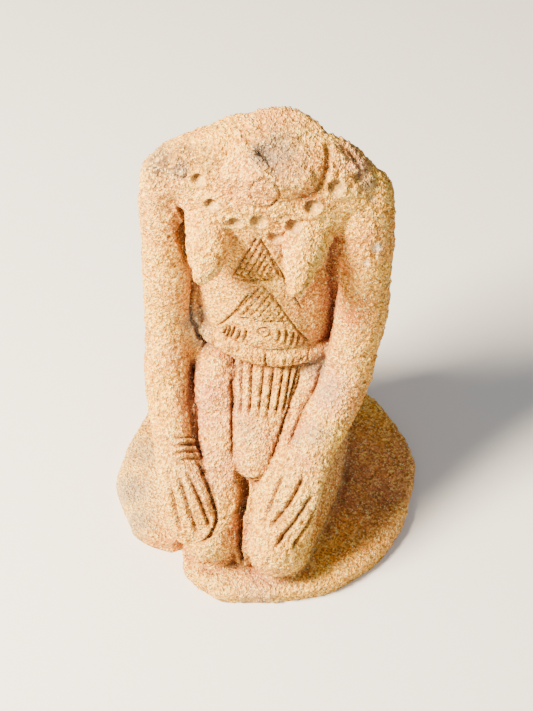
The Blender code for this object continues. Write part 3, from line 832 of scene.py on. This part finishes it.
def roughen(mesh):
    places = readPlaces(mesh) / mm
    layers = ("dig", "burr", "calm", "pit", "rise", "deep", "markShade")
    clay = {name: np.zeros(len(places)) for name in layers}
    clay["places"] = places
    clay["normals"] = readNormals(mesh)
    clay["sink"] = np.zeros((len(places), 3))
    clay["smooth"] = zoneMask(places, "smooth")
    clay["tree"] = treeOf(places, mesh)
    clay["finder"] = finderOf(places)
    drawBelly(clay)
    for width, depth, points in gaps.values():
        cutGap(clay, width, depth, points)
    for top, foot in zip(flutes["tops"], flutes["feet"]):
        carvePoints(clay, [top, foot], flutes["width"], flutes["depth"], lip=0.3, taper=5)
    for groove in fingers["grooves"]:
        carvePoints(clay, groove, fingers["width"], fingers["depth"], lip=0.3, taper=6)
    for width, depth, lip, points in creases.values():
        carvePoints(clay, points, width, depth, lip)
    wrapBangles(clay)
    nickBelt(clay)
    pressStamps(clay)
    print("marks carved")
    for x, y, height, radius, depth in hollows:
        away = np.linalg.norm(places - onClay(clay["tree"], (x, y, height))[0], axis=1) / radius
        clay["dig"] += depth * np.clip(1 - away**2, 0, 1) ** 1.5
    scatter(clay, grit["pits"], grit["pitRadius"], grit["pitDepth"], clay["pit"])
    scatter(clay, grit["grains"], grit["grainRadius"], grit["grainRise"], clay["rise"])
    coarse = 1 - grit["smoothed"] * clay["smooth"]
    coarse *= 1 - grit["stamped"] * clay["calm"]
    coarse *= 1 - grit["marked"] * np.clip(clay["markShade"], 0, 1)
    coarse *= 1 + grit["rough"] * zoneMask(places, "rough")
    swell = noiseField(places, grit["swell"][0], 1) * grit["swell"][1]
    lump = noiseField(places, grit["lump"][0], 2) * grit["lump"][1] * coarse
    grain = noiseField(places, grit["grain"][0], 3) * grit["grain"][1] * coarse
    burr = clay["burr"] * np.clip(1 - clay["dig"] / 0.4, 0, 1)
    push = swell + lump + grain + burr + (clay["rise"] - clay["pit"]) * coarse - clay["dig"]
    # the underside stays flat, and nothing leaves the solid's box
    lifted = np.clip(places[:, 2] / 1.5, 0, 1)
    moved = places + (clay["normals"] * push[:, None] + clay["sink"]) * lifted[:, None]
    low, high = np.array(nodeLow) / mm, np.array(nodeHigh) / mm
    moved = np.clip(moved, low + 0.02, high - 0.02)
    moved[places[:, 2] < 0.01, 2] = low[2]
    mesh.vertices.foreach_set("co", (moved * mm).ravel())
    mesh.update()
    clay["moved"] = moved
    print("clay roughened")
    return clay


def treeOf(places, mesh):
    faces = [list(face.vertices) for face in mesh.polygons]
    return BVHTree.FromPolygons([place * mm for place in places], faces)


def finderOf(places):
    finder = KDTree(len(places))
    for index, place in enumerate(places):
        finder.insert(place, index)
    finder.balance()
    return finder


def countTriangles(mesh):
    return sum(len(face.vertices) - 2 for face in mesh.polygons)


def thinned(mesh, spare):
    # collapses the clay until the piece is light enough to keep, first where spare is high
    lump = bpy.data.objects.new("thinned", mesh)
    bpy.context.scene.collection.objects.link(lump)
    group = lump.vertex_groups.new(name="spare")
    levels = 10
    for level in range(1, levels + 1):
        chosen = np.flatnonzero(np.round(spare * levels) == level)
        group.add(chosen.tolist(), level / levels, "REPLACE")
    whole = countTriangles(mesh)
    fewer = lump.modifiers.new("fewer", "DECIMATE")
    fewer.ratio = min(1, figure["triangles"] / whole)
    fewer.vertex_group = group.name
    fewer.vertex_group_factor = figure["spareWeight"]
    light = bpy.data.meshes.new_from_object(lump.evaluated_get(bpy.context.evaluated_depsgraph_get()))
    bpy.data.objects.remove(lump)
    print("triangles", whole, "thinned to", countTriangles(light))
    return light


# rays for the painted shade in the clay's recesses
recessShade = {
    "rays": 11,
    "turn": 2.4,  # radians from one to the next, so that they spread evenly
    "lift": 0.4,  # mm off the clay
    "reach": 22,  # mm
    "far": 0.6,  # how much less a hit at full reach counts
    "blur": 2,
}


def recessShadeMask(mesh, tree):
    # how shut in each point is, from a few rays cast out of the clay: the painted shade in the recesses
    places, normals = readPlaces(mesh), readNormals(mesh)
    reach = recessShade["reach"] * mm
    rays = []
    for i in range(recessShade["rays"]):
        turn, rise = i * recessShade["turn"], math.sqrt((i + 0.5) / recessShade["rays"])
        rays.append(Vector((rise * math.cos(turn), rise * math.sin(turn), math.sqrt(1 - rise * rise))))
    mask = np.zeros(len(places))
    for index in range(len(places)):
        normal = Vector(normals[index])
        outward = normal.to_track_quat("Z", "Y")
        start = Vector(places[index]) + normal * recessShade["lift"] * mm
        for ray in rays:
            away = tree.ray_cast(start, outward @ ray, reach)[3]
            if away is not None:
                mask[index] += 1 - recessShade["far"] * away / reach
    mask /= len(rays)
    ends = np.empty(len(mesh.edges) * 2, dtype=int)
    mesh.edges.foreach_get("vertices", ends)
    ends = ends.reshape(-1, 2)
    count = np.bincount(ends.ravel(), minlength=len(places))
    for _ in range(recessShade["blur"]):
        total = np.bincount(ends[:, 0], weights=mask[ends[:, 1]], minlength=len(places))
        total += np.bincount(ends[:, 1], weights=mask[ends[:, 0]], minlength=len(places))
        mask = 0.5 * mask + 0.5 * total / count
    return mask


def paint(mesh, name, red, green, blue):
    layer = mesh.attributes.new(name, "FLOAT_COLOR", "POINT")
    values = np.ones((len(mesh.vertices), 4))
    values[:, 0], values[:, 1], values[:, 2] = red, green, blue
    layer.data.foreach_set("color", np.clip(values, 0, 1).ravel())


# what the thinning may take, 0 to 1: more from the back and the base's top than from the marked front
sparing = {
    "view": (0.1, -0.7, 0.7),
    "side": 0.75,
    "front": 0.45,  # less than at the side
    "least": 0.3,
    "baseTop": 0.7,
    "marks": 0.1,
    "marked": 0.08,  # how deep a mark counts as one
}


def makeFigure():
    random.seed(figure["seed"])
    whole = pressTogether()
    print("forms pressed together", len(whole.vertices))
    clay = roughen(whole)
    facing = clay["normals"] @ np.array(sparing["view"])
    spare = np.clip(sparing["side"] - sparing["front"] * facing, sparing["least"], 1)
    onBase = clay["places"][:, 2] < base["thickness"] + 1
    spare = np.where(onBase, np.maximum(spare, sparing["baseTop"]), spare)
    spare = np.where(clay["markShade"] > sparing["marked"], sparing["marks"], spare)
    mesh = thinned(whole, spare)
    places = readPlaces(mesh) / mm
    finder = finderOf(clay["moved"])
    nearest = [finder.find(place)[1] for place in places]
    tree = treeOf(places, mesh)
    masks = {name: zoneMask(places, name) for name in ("grey", "pink", "lime", "orangeShade", "stain", "paleAndLit")}
    # painted shade in the recesses with the clay's grey and pink; lime, painted warm shade and stain;
    # painted shade in the marks, the stamps, and paler clay with painted highlight
    paint(mesh, "clayToneAndShade", recessShadeMask(mesh, tree), masks["grey"], masks["pink"])
    paint(mesh, "claySkinAndShade", masks["lime"], masks["orangeShade"], masks["stain"])
    paint(mesh, "clayMarksShadeAndLight", clay["markShade"][nearest], clay["calm"][nearest], masks["paleAndLit"])
    mesh.name = "kneeling_woman"
    mesh.polygons.foreach_set("use_smooth", np.ones(len(mesh.polygons), dtype=bool))
    piece = bpy.data.objects.new("kneeling_woman", mesh)
    bpy.context.scene.collection.objects.link(piece)
    print("figure made", len(mesh.vertices), "vertices")
    return piece


def linear(code):
    # an sRGB hex colour as the linear values the shader takes
    parts = [int(code[i:i + 2], 16) / 255 for i in (1, 3, 5)]
    return tuple(c / 12.92 if c <= 0.04045 else ((c + 0.055) / 1.055) ** 2.4 for c in parts) + (1,)


def addNode(tree, kind, settings=None, links=None):
    node = tree.nodes.new("ShaderNode" + kind)
    inputs = {}
    for name, value in (settings or {}).items():
        if isinstance(name, int) or name in node.inputs:
            inputs[name] = value
        else:
            setattr(node, name, value)
    for name, value in inputs.items():
        node.inputs[name].default_value = value
    for name, source in (links or {}).items():
        tree.links.new(source, node.inputs[name])
    return node


# Low-fired coarse terracotta with crushed grog: matt and open, creamy tan and paler in places, with
# painted highlight on the crests of its grain, painted shade in its pores, recesses and marks and painted
# warm shade on the side turned from the lamp, grey where soot and lime have settled, and peppered with
# grains.
terracotta = {
    "body": "#F5B638",
    "grogMm": 1.5,  # across a grain of grog
    "reliefMm": 1.9,  # from one hump of the skin to the next, drawn as coarse as the picture can show
    "bumpMm": 2.6,  # height of the finest grain, drawn strong enough to show
    "stampedBump": 0.45,  # and how little of it shows in the stamps
    "roughness": 0.93,
    "specular": 0.25,  # open clay hardly shines
    "grogRise": 0.22,  # how far a grain stands up against the skin's humps
    # where each sets in and where it is full
    "core": (0.5, 0.15),
    # painted shade in the hollows, from how shut in the clay is
    "recessShade": (0.16, 0.62),
    # painted shade in the low points of the grain, and painted highlight on its high points
    "poreShade": (0.58, 0.42),
    "crestHighlight": (0.6, 0.74),
    # which channel of a grain's random colour picks it, and from what value
    "grains": (("pale grain", 0, 0.72), ("dark grain", 1, 0.86)),
    # laid over one another: what holds the layer, its cloud's size in mm, where the cloud sets in and is
    # full, the least and most that shows, colour
    "layers": (
        ("all", 26, 0.4, 0.66, 0.0, 0.8, "#E4943C"),
        ("all", 11, 0.5, 0.68, 0.0, 0.6, "#FACF66"),
        # paler clay, and painted highlight where the light falls strongest
        ("paleAndLit", 9, 0.3, 0.6, 0.2, 0.9, "#F6D07C"),
        ("pink", 9, 0.3, 0.6, 0.3, 1.0, "#E0926A"),
        # painted warm shade
        ("orangeShade", 12, 0.25, 0.6, 0.4, 0.9, "#C86E2A"),
        # painted shade in the grain's low points
        ("poreShade", 7, 0.3, 0.6, 0.5, 0.9, "#95601C"),
        # painted highlight on the grain's high points
        ("crestHighlight", 7, 0.3, 0.6, 0.4, 1.0, "#FFE67C"),
        # painted shade in the recesses
        ("recessShade", 30, 0.2, 0.5, 0.8, 1.0, "#96583A"),
        ("stamped", 4, 0.3, 0.6, 0.3, 0.6, "#BE9A5C"),
        # painted shade in the marks and gaps
        ("markShade", 5, 0.2, 0.5, 0.65, 0.9, "#74491F"),
        ("grey", 4, 0.3, 0.5, 0.4, 0.9, "#8E8270"),
        ("stain", 2.0, 0.42, 0.52, 0.15, 0.95, "#45332A"),
        ("pale grain", 14, 0.3, 0.6, 0.3, 0.9, "#FFEFB0"),
        ("dark grain", 14, 0.3, 0.6, 0.5, 1.0, "#6A3E1C"),
        ("lime", 2, 0.3, 0.6, 0.8, 1.0, "#F0DDB8"),
    ),
}


def perMetre(size):
    # a pattern's scale on Object coordinates, from its size in mm
    return 1000 / size


def makeTerracotta():
    made = bpy.data.materials.new("coarse terracotta")
    made.use_nodes = True
    tree = made.node_tree
    shader = tree.nodes["Principled BSDF"]
    at = addNode(tree, "TexCoord").outputs["Object"]

    held = {}
    # the channels: painted shade in the recesses, grey, pink; lime, painted warm shade, stain; painted
    # shade in the marks, the stamps, paler clay with painted highlight
    painted = {
        "clayToneAndShade": ("recessShade", "grey", "pink"),
        "claySkinAndShade": ("lime", "orangeShade", "stain"),
        "clayMarksShadeAndLight": ("markShade", "stamped", "paleAndLit"),
    }
    for name, channels in painted.items():
        layer = addNode(tree, "Attribute", {"attribute_name": name})
        parts = addNode(tree, "SeparateColor", links={0: layer.outputs["Color"]})
        held.update(zip(channels, parts.outputs))

    skin = addNode(tree, "TexNoise", {"Scale": perMetre(terracotta["reliefMm"]), "Detail": 1.6,
                                      "Roughness": 0.6}, {"Vector": at})
    grog = addNode(tree, "TexVoronoi", {"Scale": perMetre(terracotta["grogMm"])}, {"Vector": at})
    low, high = terracotta["core"]
    core = addNode(tree, "MapRange", {"From Min": low, "From Max": high},
                   {"Value": grog.outputs["Distance"]})
    height = addNode(tree, "Math", {"operation": "MULTIPLY_ADD", 1: terracotta["grogRise"]},
                     {0: core.outputs["Result"], 2: skin.outputs["Fac"]}).outputs[0]
    # painted shade in the recesses and the grain's low points, and painted highlight on its high points
    for name, source in (("recessShade", held["recessShade"]), ("poreShade", height), ("crestHighlight", height)):
        low, high = terracotta[name]
        held[name] = addNode(tree, "MapRange", {"From Min": low, "From Max": high},
                             {"Value": source}).outputs["Result"]
    kinds = addNode(tree, "SeparateColor", links={0: grog.outputs["Color"]})
    for name, channel, least in terracotta["grains"]:
        chosen = addNode(tree, "MapRange", {"From Min": least, "From Max": least + 0.04},
                         {"Value": kinds.outputs[channel]})
        held[name] = addNode(tree, "Math", {"operation": "MULTIPLY"},
                             {0: chosen.outputs["Result"], 1: core.outputs["Result"]}).outputs[0]

    colour = addNode(tree, "RGB").outputs[0]
    colour.default_value = linear(terracotta["body"])
    for holder, size, low, high, least, most, code in terracotta["layers"]:
        cloud = addNode(tree, "TexNoise", {"Scale": perMetre(size), "Detail": 3.0, "Roughness": 0.6},
                        {"Vector": at})
        extent = {"From Min": low, "From Max": high, "To Min": least, "To Max": most}
        shown = addNode(tree, "MapRange", extent, {"Value": cloud.outputs["Fac"]}).outputs["Result"]
        if holder != "all":
            shown = addNode(tree, "Math", {"operation": "MULTIPLY"},
                            {0: shown, 1: held[holder]}).outputs[0]
        # sockets 6 and 7 are the two colours, and output 2 the mixed one
        colour = addNode(tree, "Mix", {"data_type": "RGBA", 7: linear(code)},
                         {0: shown, 6: colour}).outputs[2]
    tree.links.new(colour, shader.inputs["Base Color"])

    shader.inputs["Roughness"].default_value = terracotta["roughness"]
    shader.inputs["Specular IOR Level"].default_value = terracotta["specular"]
    strength = addNode(tree, "MapRange", {"To Min": 1.0, "To Max": terracotta["stampedBump"]},
                       {"Value": held["stamped"]}).outputs["Result"]
    bump = addNode(tree, "Bump", {"Distance": terracotta["bumpMm"] * mm},
                   {"Height": height, "Strength": strength})
    tree.links.new(bump.outputs["Normal"], shader.inputs["Normal"])
    return made


studio = {
    "floor": "#D9D7D2",
    "floorRoughness": 0.9,
    "wall": "#EEF1F5",
    "wallLight": 0.42,
    "floorReach": 3.0,
    "aimHeight": 0.13,  # what the lamps point at, in metres
    # place, size in metres, watts, colour
    "lamps": {
        "window": ((-0.92, -0.5, 1.17), 0.5, 170, "#FFEED4"),
        "fill": ((0.9, -0.9, 0.8), 1.2, 7, "#DCE6F8"),
    },
}


def makeStudio():
    bm = bmesh.new()
    bmesh.ops.create_grid(bm, x_segments=1, y_segments=1, size=studio["floorReach"])
    mesh = bpy.data.meshes.new("floor")
    bm.to_mesh(mesh)
    bm.free()
    floor = bpy.data.objects.new("floor", mesh)
    bpy.context.scene.collection.objects.link(floor)
    paper = bpy.data.materials.new("pale paper")  # a matt sheet, so it takes only soft shadows
    paper.use_nodes = True
    shader = paper.node_tree.nodes["Principled BSDF"]
    shader.inputs["Base Color"].default_value = linear(studio["floor"])
    shader.inputs["Roughness"].default_value = studio["floorRoughness"]
    mesh.materials.append(paper)
    world = bpy.data.worlds.new("studio")
    world.use_nodes = True
    shader = world.node_tree.nodes["Background"]
    shader.inputs["Color"].default_value = linear(studio["wall"])
    shader.inputs["Strength"].default_value = studio["wallLight"]
    bpy.context.scene.world = world
    for name, (place, size, watts, colour) in studio["lamps"].items():
        lamp = bpy.data.lights.new(name, "AREA")
        lamp.size, lamp.energy, lamp.color = size, watts, linear(colour)[:3]
        holder = bpy.data.objects.new(name, lamp)
        holder.location = place
        aim = Vector((0, 0, studio["aimHeight"])) - Vector(place)
        holder.rotation_euler = aim.to_track_quat("-Z", "Y").to_euler()
        bpy.context.scene.collection.objects.link(holder)


# the photograph's view: from her front, a little to her left, looking well down
view = {"place": (0.10237, -0.65236, 0.86085), "down": 47.949, "left": 8.742, "roll": 1.3, "lens": 80.1}


def makeCamera():
    down, left, roll = (math.radians(view[name]) for name in ("down", "left", "roll"))
    ahead = Vector((-math.sin(left) * math.cos(down), math.cos(left) * math.cos(down), -math.sin(down)))
    right = ahead.cross(Vector((0, 0, 1))).normalized()
    above = right.cross(ahead)
    right, above = (right * math.cos(roll) - above * math.sin(roll),
                    right * math.sin(roll) + above * math.cos(roll))
    data = bpy.data.cameras.new("camera")
    data.lens = view["lens"]
    camera = bpy.data.objects.new("camera", data)
    camera.matrix_world = Matrix((right, above, -ahead)).transposed().to_4x4()
    camera.location = view["place"]
    bpy.context.scene.collection.objects.link(camera)
    bpy.context.scene.camera = camera


piece = makeFigure()
piece.data.materials.append(makeTerracotta())
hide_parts("kneeling_figure")
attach(piece, "root")
print("figure dressed")
makeStudio()
makeCamera()
print("studio and camera set")
